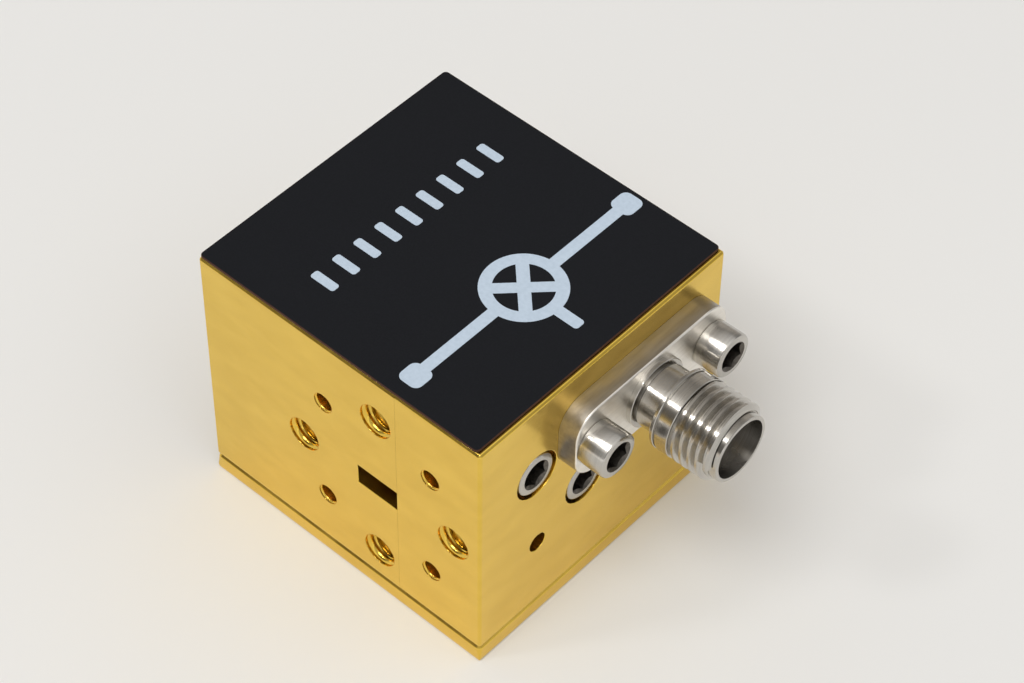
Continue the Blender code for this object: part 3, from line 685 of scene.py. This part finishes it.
def thread_tree():
    lengths = ("Root radius", "Pitch", "Turns", "Fade turns", "Root width", "Crest width", "Height", "Side")
    inputs = {**{label: "Float" for label in lengths}, "Points a turn": "Int", "Material": "Material"}
    tree, start, end = new_tree("thread", inputs)
    given = start.outputs
    helix = {
        "Resolution": given["Points a turn"],
        "Rotations": given["Turns"],
        "Start Radius": given["Root radius"],
        "End Radius": given["Root radius"],
        "Height": calculate(tree, "MULTIPLY", given["Pitch"], given["Turns"]),
        "Reverse": True,
    }
    spiral = add(tree, "GeometryNodeCurveSpiral", helix).outputs["Curve"]
    upright = add(tree, "GeometryNodeSetCurveNormal", {"Curve": spiral}, mode="Z_UP").outputs["Curve"]
    along = add(tree, "GeometryNodeSplineParameter").outputs["Factor"]
    steepness = calculate(tree, "DIVIDE", given["Turns"], given["Fade turns"])
    fade_in = calculate(tree, "MULTIPLY", along, steepness)
    fade_out = calculate(tree, "MULTIPLY", calculate(tree, "SUBTRACT", 1.0, along), steepness)
    both = calculate(tree, "MINIMUM", calculate(tree, "MINIMUM", fade_in, fade_out), 1.0)
    radius = calculate(tree, "MAXIMUM", both, THINNEST_RIDGE)
    faded = add(tree, "GeometryNodeSetCurveRadius", {"Curve": upright, "Radius": radius})
    trapezoid = {
        "Bottom Width": given["Root width"],
        "Top Width": given["Crest width"],
        "Height": given["Height"],
        "Offset": 0.0,
    }
    ridge = add(tree, "GeometryNodeCurvePrimitiveQuadrilateral", trapezoid, mode="TRAPEZOID")
    half_height = calculate(tree, "DIVIDE", given["Height"], 2.0)
    seated = shifted(tree, ridge.outputs["Curve"], "Translation", "Y", half_height)
    quarter = calculate(tree, "MULTIPLY", given["Side"], math.radians(-90))
    facing = shifted(tree, seated, "Rotation", "Z", quarter)
    swept = {"Curve": faded.outputs["Curve"], "Profile Curve": facing, "Fill Caps": True}
    ending(tree, add(tree, "GeometryNodeCurveToMesh", swept).outputs["Mesh"], start, end)
    return tree


THREAD = thread_tree()
OUTWARDS = 1.0
INWARDS = -1.0


def thread(name, look, side, **sizes):
    """One helical ridge about local Z, starting at height 0."""
    values = {label.replace("_", " "): value for label, value in sizes.items()}
    ridge = run_tree(THREAD, name, [], {**values, "Side": side, "Material": look})
    bm = bmesh.new()
    bm.from_mesh(ridge.data)
    bmesh.ops.recalc_face_normals(bm, faces=bm.faces)
    bm.to_mesh(ridge.data)
    bm.free()
    return ridge


print("tree:", THREAD.name, [item.name for item in THREAD.interface.items_tree])

# %% [markdown]
# ## The label and its ink
#
# The label is a thin plate with rounded corners over nearly the whole top. Its cut edge looks brown, as if
# it came from a sheet with a brown core, so the sides have a finish of their own. The ink lies on it: the
# plate is made 0.01 mm lower than the CAD plate, so that the ink's top is exactly at the CAD plate's top.
# The drawing is the general circuit symbol for a mixer, a circle with a cross and three leads, and a row of
# plain bars. Bars and ring are joined with a Boolean, because faces that lie in one another render badly.

# %% Label plate
LABEL_CORNER = 0.35 * MM
LABEL_EDGE = 0.04 * MM
STEEPEST_TOP = 0.95
INK_THICKNESS = 0.01 * MM
CORNER_STEPS = 10
label_low, label_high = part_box("label_plate")
INK_BOTTOM = label_high.z - INK_THICKNESS


def rounded_rectangle(length_x, length_y, radius, centre=(0.0, 0.0)):
    outline = []
    for corner, (side_x, side_y) in enumerate(((1, 1), (-1, 1), (-1, -1), (1, -1))):
        for step in range(CORNER_STEPS + 1):
            angle = math.radians(90) * (corner + step / CORNER_STEPS)
            x = side_x * (length_x / 2 - radius) + radius * math.cos(angle)
            y = side_y * (length_y / 2 - radius) + radius * math.sin(angle)
            outline.append((centre[0] + x, centre[1] + y))
    return outline


def rim(bm, height):
    """The edges round a flat face at one height."""
    return [edge for edge in bm.edges if all(abs(v.co.z - height) < SAME_PLACE for v in edge.verts)]


def round_rim(bm, height, radius, steps=2):
    bmesh.ops.bevel(bm, geom=rim(bm, height), offset=radius, segments=steps, profile=0.5, affect="EDGES")


middle = (label_low + label_high) / 2
size = label_high - label_low
outline = rounded_rectangle(size.x, size.y, LABEL_CORNER, middle)
plate = object_from(prism(outline, label_low.z, INK_BOTTOM), "label", label_black)
plate.data.materials.append(label_edge)
bm = bmesh.new()
bm.from_mesh(plate.data)
round_rim(bm, INK_BOTTOM, LABEL_EDGE)
for face in bm.faces:
    face.material_index = 0 if abs(face.normal.z) > STEEPEST_TOP else 1
bm.to_mesh(plate.data)
bm.free()
attach(softly_shaded(plate), "black_label", "label_plate")

# %% Ink on the label
SYMBOL_CENTRE = (5.4 * MM, 0.4 * MM)
RING_RADIUS = 2.7 * MM
STROKE = 0.95 * MM
LEAD_ENDS = (-10.4 * MM, 11.2 * MM)
SHORT_LEAD_END = 10.6 * MM
BAR_ROW_X = -5.05 * MM
BAR_SPACING = 2.1 * MM
BAR_COUNT = 9
BAR_SIZE = (2.2 * MM, 0.75 * MM)
CORNER_SHARE = 0.3


def bar(length_x, length_y, centre):
    """A printed bar with round corners."""
    outline = rounded_rectangle(length_x, length_y, min(length_x, length_y) * CORNER_SHARE, centre)
    return object_from(prism(outline, INK_BOTTOM, label_high.z), "bar", ink)


def slanted_bar(length, width, centre, angle):
    made = bar(length, width, (0.0, 0.0))
    made.data.transform(Matrix.Translation((*centre, 0)) @ Matrix.Rotation(angle, 4, "Z"))
    return made


outer, inner = RING_RADIUS + STROKE / 2, RING_RADIUS - STROKE / 2
square = [(outer, INK_BOTTOM), (outer, label_high.z), (inner, label_high.z), (inner, INK_BOTTOM)]
symbol = object_from(turned(square, closed=True), "mixer_symbol", ink)
symbol.data.transform(Matrix.Translation((*SYMBOL_CENTRE, 0)))
strokes = [slanted_bar(2 * RING_RADIUS, STROKE, SYMBOL_CENTRE, math.radians(turn)) for turn in (45, -45)]
for end in LEAD_ENDS:
    start = SYMBOL_CENTRE[1] + math.copysign(RING_RADIUS, end)
    strokes.append(bar(STROKE, abs(end - start), (SYMBOL_CENTRE[0], (start + end) / 2)))
    strokes.append(bar(2 * STROKE, 2 * STROKE, (SYMBOL_CENTRE[0], end)))
start = SYMBOL_CENTRE[0] + RING_RADIUS
strokes.append(bar(SHORT_LEAD_END - start, STROKE, ((start + SHORT_LEAD_END) / 2, SYMBOL_CENTRE[1])))
attach(combine(symbol, strokes, "UNION"), "black_label")

template = bar(*BAR_SIZE, (0.0, 0.0))
row = [(BAR_ROW_X, (k - (BAR_COUNT - 1) / 2) * BAR_SPACING, 0) for k in range(BAR_COUNT)]
bars = repeated("label_bars", template, row, Matrix.Identity(4), ink)
bpy.data.objects.remove(template, do_unlink=True)
attach(bars, "black_label")

# %% [markdown]
# ## Socket-head screws
#
# A cap screw's head is turned, with a chamfer round its top, and its hexagon is punched into a drilled hole:
# that leaves a round lead-in at the mouth and a shallow cone at the bottom. One template is made for each
# length, and the tree copies it to its places. The thread on the shank is never seen, so it stays plain.

# %% Cap screws
HEAD_RADIUS = 1.78 * MM
HEAD_HEIGHT = 2.19 * MM
HEAD_CHAMFER = 0.2 * MM
CHAMFER_SHARE = 0.35
HEAD_FOOT = 0.03 * MM
SHANK_RADIUS = 1.09 * MM
HEX_FLATS = 1.98 * MM
HEX_DEPTH = 1.1 * MM
HEX_LEAD_IN = 0.09 * MM
SOCKET_REACH = 1.3 * MM
THROUGH = 0.05 * MM


def hexagon_tools(flats, depth, mouth, way=1.0):
    """Hexagon, lead-in cone and drilled bottom; way is -1 where the mouth looks down."""
    corners = flats / math.sqrt(3)
    wide = corners + HEX_LEAD_IN
    deep = mouth - way * depth
    above = mouth + way * THROUGH
    cone_end = mouth - way * (wide - flats / 2)
    lead_in = [(0, above), (wide + THROUGH, above), (flats / 2, cone_end), (0, cone_end)]
    drill = flats / 2 - THROUGH
    bottom = deep + way * THROUGH
    drilled = [(0, bottom), (drill, bottom), (drill, deep), (0, deep - way * flats / 4)]
    hexagon = prism(polygon(corners, 6), *sorted((deep, above)))
    return [object_from(body, "tool") for body in (hexagon, turned(lead_in), turned(drilled))]


def cap_screw(length):
    """Its seat is at local 0, its head above and its shank below."""
    tip = -length
    profile = [
        (0, HEAD_HEIGHT),
        (HEAD_RADIUS - HEAD_CHAMFER, HEAD_HEIGHT),
        (HEAD_RADIUS - CHAMFER_SHARE * HEAD_CHAMFER, HEAD_HEIGHT - CHAMFER_SHARE * HEAD_CHAMFER),
        (HEAD_RADIUS, HEAD_HEIGHT - HEAD_CHAMFER),
        (HEAD_RADIUS, HEAD_FOOT),
        (HEAD_RADIUS - HEAD_FOOT, 0),
        (SHANK_RADIUS, 0),
        (SHANK_RADIUS, tip + HEAD_CHAMFER),
        (SHANK_RADIUS - HEAD_CHAMFER, tip),
        (0, tip),
    ]
    screw = object_from(turned(profile), "screw_template", turned_steel)
    return combine(screw, hexagon_tools(HEX_FLATS, HEX_DEPTH, HEAD_HEIGHT), "DIFFERENCE")


def paint_inside(piece, places, radius, low, high, look):
    """Gives another finish, here the sockets' painted shade, to the faces inside these cylinders along X,
    between two values of X.
    """
    piece.data.materials.append(look)
    for face in piece.data.polygons:
        x, y, z = face.center
        nearest = min(math.hypot(y - place[1], z - place[2]) for place in places)
        if low < x < high and nearest < radius:
            face.material_index = len(piece.data.materials) - 1


def cap_screws(name, nodes):
    """Screws in place of these nodes, their heads' tops where the CAD's are."""
    boxes = [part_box(node) for node in nodes]
    low, high = boxes[0]
    seat = high.x - HEAD_HEIGHT
    places = [(seat, (low.y + high.y) / 2, (low.z + high.z) / 2) for low, high in boxes]
    template = cap_screw(seat - low.x)
    screws = repeated(name, template, places, ALONG_X, turned_steel)
    bpy.data.objects.remove(template, do_unlink=True)
    # Painted shade: every face inside the sockets is coloured dark.
    paint_inside(screws, places, SOCKET_REACH, seat + HEAD_FOOT, high.x - SAME_PLACE, socket_painted_shade)
    attach(softly_shaded(screws), "stainless_steel", *nodes)


cap_screws("flange_screws", ["flange_screw_left", "flange_screw_right"])
cap_screws("housing_screws", ["housing_screw_upper", "housing_screw_centre", "housing_screw_lower"])

# %% [markdown]
# ## Flat-head screws underneath
#
# Four countersunk screws hold the cover plate. Their heads look down, so the profile starts at the head and
# runs up the cone to the shank, and the hexagon is cut from below.

# %% Cover screws
FLAT_HEAD_RIM = 0.04 * MM
COVER_HEX_FLATS = 1.27 * MM
COVER_HEX_DEPTH = 0.8 * MM
CONE_HALF_ANGLE = math.radians(41)


def flat_head_screw(head_radius, length):
    cone_top = FLAT_HEAD_RIM + (head_radius - SHANK_RADIUS) / math.tan(CONE_HALF_ANGLE)
    profile = [
        (0, 0),
        (head_radius - FLAT_HEAD_RIM, 0),
        (head_radius, FLAT_HEAD_RIM),
        (SHANK_RADIUS, cone_top),
        (SHANK_RADIUS, length - HEAD_CHAMFER),
        (SHANK_RADIUS - HEAD_CHAMFER, length),
        (0, length),
    ]
    screw = object_from(turned(profile), "screw_template", upright_steel)
    return combine(screw, hexagon_tools(COVER_HEX_FLATS, COVER_HEX_DEPTH, 0.0, -1.0), "DIFFERENCE")


cover_nodes = [f"cover_screw_{number}" for number in range(1, 5)]
cover_boxes = [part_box(node) for node in cover_nodes]
low, high = cover_boxes[0]
template = flat_head_screw((high.x - low.x) / 2 - FLAT_HEAD_RIM, high.z - low.z)
places = [((low.x + high.x) / 2, (low.y + high.y) / 2, low.z) for low, high in cover_boxes]
cover_screws = repeated("cover_screws", template, places, Matrix.Identity(4), upright_steel)
bpy.data.objects.remove(template, do_unlink=True)
attach(softly_shaded(cover_screws), "stainless_steel", *cover_nodes)

# %% [markdown]
# ## The coaxial jack
#
# Flange and barrel are one piece of stainless steel. The flange is a plate with rounded ends, the barrel is
# turned in steps: collar, neck, shoulder, a land and then the thread, 36 turns to the inch, up to a bare
# lead-in at the tip. The barrel's core is turned at the thread's root, and the helix adds the ridge.

# %% Jack flange and barrel
bead_low, bead_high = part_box("connector_bead")
shell_low, shell_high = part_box("connector_shell")
bead_middle = (bead_low + bead_high) / 2
JACK_FRAME = Matrix.Translation((front_high.x, bead_middle.y, bead_middle.z)) @ ALONG_X
FLANGE_BACK = CONTACT_GAP
FLANGE_FRONT = 1.65 * MM
FLANGE_CORNER = 2.2 * MM
FLANGE_EDGE = 0.13 * MM
FLANGE_HOLE_RADIUS = 1.3 * MM
JACK_TIP = shell_high.x - front_high.x
JACK_FACE = bead_high.x - front_high.x
FRONT_BORE_RADIUS = 2.35 * MM
BEAD_BORE_RADIUS = 2.1 * MM
THREAD_RADIUS = 3.175 * MM
THREAD_HEIGHT = 0.4 * MM
THREAD_PITCH = 25.4 * MM / 36
THREAD_START = 5.5 * MM
THREAD_TURNS = 4.75
LEAD_RADIUS = 2.65 * MM
EDGE_BREAK = 0.05 * MM
BARREL_SINK = 0.5 * MM
RIDGE_SINK = 0.01 * MM

BARREL_STEPS = (
    (2.80 * MM, 2.10 * MM),
    (2.30 * MM, 2.30 * MM),
    (2.50 * MM, 4.00 * MM),
    (3.175 * MM, 4.30 * MM),
    (2.975 * MM, 4.45 * MM),
    (3.175 * MM, 5.55 * MM),
    (THREAD_RADIUS - THREAD_HEIGHT, 8.85 * MM),
    (LEAD_RADIUS, JACK_TIP),
)


def barrel():
    """Steps of (radius, height of their front end), each edge broken by a small chamfer."""
    height = FLANGE_FRONT - BARREL_SINK
    profile = [(0, height), (BARREL_STEPS[0][0], height)]
    before = (BARREL_STEPS[0], *BARREL_STEPS)
    after = (*BARREL_STEPS[1:], BARREL_STEPS[-1])
    for last, (radius, front), following in zip(before, BARREL_STEPS, after):
        if radius > last[0]:
            profile += [(radius - EDGE_BREAK, last[1]), (radius, last[1] + EDGE_BREAK)]
        elif radius < last[0]:
            profile += [(radius, last[1])]
        if following[0] <= radius:
            profile += [(radius, front - EDGE_BREAK), (radius - EDGE_BREAK, front)]
        else:
            profile += [(radius, front)]
    return turned([*profile, (0, JACK_TIP)], steps=FINE_STEPS)


def round_tool(radius, low, high):
    return object_from(turned([(0, high), (radius, high), (radius, low), (0, low)], steps=FINE_STEPS), "tool")


def flange_plate():
    across = shell_high.z - shell_low.z
    along = shell_high.y - shell_low.y
    bm = prism(rounded_rectangle(across, along, FLANGE_CORNER), FLANGE_BACK, FLANGE_FRONT)
    round_rim(bm, FLANGE_FRONT, FLANGE_EDGE, 3)
    return object_from(bm, "jack_shell", turned_steel)


ridge = thread(
    "ridge", turned_steel, OUTWARDS, Root_radius=THREAD_RADIUS - THREAD_HEIGHT - RIDGE_SINK,
    Pitch=THREAD_PITCH, Turns=THREAD_TURNS, Fade_turns=0.5, Root_width=0.64 * MM, Crest_width=0.18 * MM,
    Height=THREAD_HEIGHT + RIDGE_SINK, Points_a_turn=ROUND_STEPS,
)
ridge.data.transform(Matrix.Translation((0, 0, THREAD_START)))
shell = combine(flange_plate(), [object_from(barrel(), "barrel", turned_steel), ridge], "UNION")
holes = []
for node in ("flange_screw_left", "flange_screw_right"):
    screw_low, screw_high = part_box(node)
    hole = round_tool(FLANGE_HOLE_RADIUS, 0.0, FLANGE_FRONT + THROUGH)
    place = (screw_low.y + screw_high.y) / 2 - JACK_FRAME.translation.y
    hole.data.transform(Matrix.Translation((0, place, 0)))
    holes.append(hole)
front_bore = round_tool(FRONT_BORE_RADIUS, JACK_FACE, JACK_TIP + THROUGH)
bead_bore = round_tool(BEAD_BORE_RADIUS, 0.0, JACK_FACE + THROUGH)
combine(shell, [*holes, front_bore, bead_bore], "DIFFERENCE")
# The flange's front gets the lightened colour (painted light), its sides the darkened one (painted shade),
# and the bore's wall the dark one (painted shade).
for look in (milled_steel, sawn_steel, bored_steel):
    shell.data.materials.append(look)
for face in shell.data.polygons:
    reach = max(math.hypot(*shell.data.vertices[i].co[:2]) for i in face.vertices)
    if reach > THREAD_RADIUS + EDGE_BREAK and face.center.z < FLANGE_FRONT + EDGE_BREAK:
        face.material_index = 1 if face.center.z > FLANGE_FRONT - FLANGE_EDGE else 2
    elif reach < FRONT_BORE_RADIUS + SAME_PLACE:
        face.material_index = 3
shell.data.transform(JACK_FRAME)
attach(softly_shaded(shell), "stainless_steel", "connector_shell")

# %% [markdown]
# ## Bead and centre contact
#
# Inside the jack a white bead holds the contact on the axis. The contact is a gold-plated tube at the front,
# slit into four fingers that grip the mating pin, and a thin pin behind.

# %% Bead and contact
CONTACT_RADIUS = 0.635 * MM
CONTACT_BORE_RADIUS = 0.47 * MM
CONTACT_BORE_DEPTH = 2.3 * MM
CONTACT_SLIT = (0.2 * MM, 1.8 * MM)
CONTACT_LIP = 0.05 * MM
BEAD_HOLE_RADIUS = 0.685 * MM
contact_low, contact_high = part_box("centre_contact")
PIN_RADIUS = 0.25 * MM
BEAD_BACK = bead_low.x - front_high.x
PIN_END = contact_low.x - front_high.x
BEAD_RADIUS = (bead_high.y - bead_low.y) / 2

bead_profile = [
    (BEAD_RADIUS - EDGE_BREAK, JACK_FACE), (BEAD_RADIUS, JACK_FACE - EDGE_BREAK), (BEAD_RADIUS, BEAD_BACK),
    (BEAD_HOLE_RADIUS, BEAD_BACK), (BEAD_HOLE_RADIUS, JACK_FACE),
]
bead = object_from(turned(bead_profile, closed=True), "jack_bead", bead_white)
bead.data.transform(JACK_FRAME)
attach(softly_shaded(bead), "bead_white", "connector_bead")

contact_profile = [
    (0, JACK_FACE - CONTACT_BORE_DEPTH), (CONTACT_BORE_RADIUS, JACK_FACE - CONTACT_BORE_DEPTH),
    (CONTACT_BORE_RADIUS, JACK_FACE - CONTACT_LIP), (CONTACT_BORE_RADIUS + CONTACT_LIP, JACK_FACE),
    (CONTACT_RADIUS - CONTACT_LIP, JACK_FACE), (CONTACT_RADIUS, JACK_FACE - CONTACT_LIP),
    (CONTACT_RADIUS, BEAD_BACK), (PIN_RADIUS, BEAD_BACK), (PIN_RADIUS, PIN_END), (0, PIN_END),
]
contact = object_from(turned(contact_profile), "jack_contact", contact_gold)
slit_width, slit_depth = CONTACT_SLIT
slits = []
for across, along in ((slit_width, 4 * CONTACT_RADIUS), (4 * CONTACT_RADIUS, slit_width)):
    x, y = across / 2, along / 2
    slit = prism([(-x, -y), (x, -y), (x, y), (-x, y)], JACK_FACE - slit_depth, JACK_FACE + THROUGH)
    slits.append(object_from(slit, "slit"))
combine(contact, slits, "DIFFERENCE")
contact.data.transform(JACK_FRAME)
attach(softly_shaded(contact), "contact_gold", "centre_contact")

# %% [markdown]
# ## Inside the ports' holes
#
# Each port has four tapped holes on its bolt circle, number 4 with 40 turns to the inch, and four pin holes
# between them. Below a sharp rim comes the first turn of the thread, with its crest rounded by plating and
# use: it starts nearly flat and ends nearly straight, and somewhere on that curve it catches the lamp. The
# same thread tree makes the ridge, pointing inwards this time, and the repeating tree puts it in all four
# holes of a port.

# %% Threads and lead-ins
PORT_X = 3.6 * MM
PORT_Z = 11.64375 * MM
BOLT_RADIUS = 7.14375 * MM
TAPPED_RADIUS = 1.4224 * MM
TAP_PITCH = 25.4 * MM / 40
TAP_TURNS = 8.0
TURNS_BELOW_MOUTH = 0.2
TAP_HEIGHT = 0.25 * MM
TAP_RIM = 0.2 * MM
TAP_LEAD_IN = 0.28 * MM
LEAD_IN_ANGLES = (66, 8)
LEAD_IN_STEPS = 8
PIN_HOLE_RADIUS = 0.85 * MM
PIN_HOLE_DEPTH = 2.45 * MM
PIN_RIM = 0.09 * MM
PIN_LEAD_IN = 0.12 * MM
BEHIND_WALL = 0.01 * MM
WALL_SHARE = 1.2


def mouth(radius, rim_depth, depth):
    """A straight rim, then a curve that narrows the hole; its angles are measured from the hole's axis."""
    first, last = LEAD_IN_ANGLES
    points = [(radius, 0.0), (radius - SAME_PLACE, -rim_depth)]
    for step in range(LEAD_IN_STEPS):
        slope = math.tan(math.radians(first + (last - first) * (step + 0.5) / LEAD_IN_STEPS))
        radius -= slope * depth / LEAD_IN_STEPS
        points.append((radius, points[-1][1] - depth / LEAD_IN_STEPS))
    return points


behind = TAPPED_RADIUS + BEHIND_WALL
tap_mouth = mouth(TAPPED_RADIUS, TAP_RIM, TAP_LEAD_IN)
tap_depth = -tap_mouth[-1][1]
tap_wall = [(behind, -WALL_SHARE * tap_depth), (behind, 0.0)]
sink = object_from(turned([*tap_mouth, *tap_wall], closed=True), "sink", gold)
ridge = thread(
    "ridge", gold, INWARDS, Root_radius=behind, Pitch=TAP_PITCH, Turns=TAP_TURNS,
    Fade_turns=0.4, Root_width=0.56 * MM, Crest_width=0.1 * MM, Height=TAP_HEIGHT, Points_a_turn=40,
)
ridge.data.transform(Matrix.Translation((0, 0, -tap_depth - TAP_PITCH * (TAP_TURNS + TURNS_BELOW_MOUTH))))
tapped = combine(sink, [ridge], "UNION")

behind = PIN_HOLE_RADIUS + BEHIND_WALL
pin_mouth = mouth(PIN_HOLE_RADIUS, PIN_RIM, PIN_LEAD_IN)
pin_wall = [(pin_mouth[-1][0], -PIN_HOLE_DEPTH), (behind, -PIN_HOLE_DEPTH), (behind, 0.0)]
lined = object_from(turned([*pin_mouth, *pin_wall], closed=True), "lined", gold)
print("mouths narrow to", [round(2 * points[-1][0] / MM, 2) for points in (tap_mouth, pin_mouth)], "mm")

for port, side, turn in (("signal", -1, ALONG_MINUS_Y), ("oscillator", 1, ALONG_PLUS_Y)):
    for kind, template, start in (("threads", tapped, 0), ("pin_holes", lined, math.radians(45))):
        places = [(PORT_X + x, side * rear_high.y, PORT_Z + z) for x, z in polygon(BOLT_RADIUS, 4, start)]
        attach(softly_shaded(repeated(f"{port}_port_{kind}", template, places, turn, gold)), "gold_plate")
for template in (tapped, lined):
    bpy.data.objects.remove(template, do_unlink=True)

# %% [markdown]
# ## Pieces that stay as the CAD made them
#
# Dowel pins, ceramic strips and diodes have the right shape already. Only their finish is new.

# %% Finishes on CAD nodes
CAD_FINISHES = {
    "dowel_pin_left": turned_steel,
    "dowel_pin_right": turned_steel,
    "mixer_substrate": ceramic,
    "if_filter_substrate": ceramic,
    "mixer_diode_left": diode_chip,
    "mixer_diode_right": diode_chip,
}
for node, look in CAD_FINISHES.items():
    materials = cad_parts[node].data.materials
    materials.clear()
    materials.append(look)
print("new finishes on", len(CAD_FINISHES), "CAD nodes")
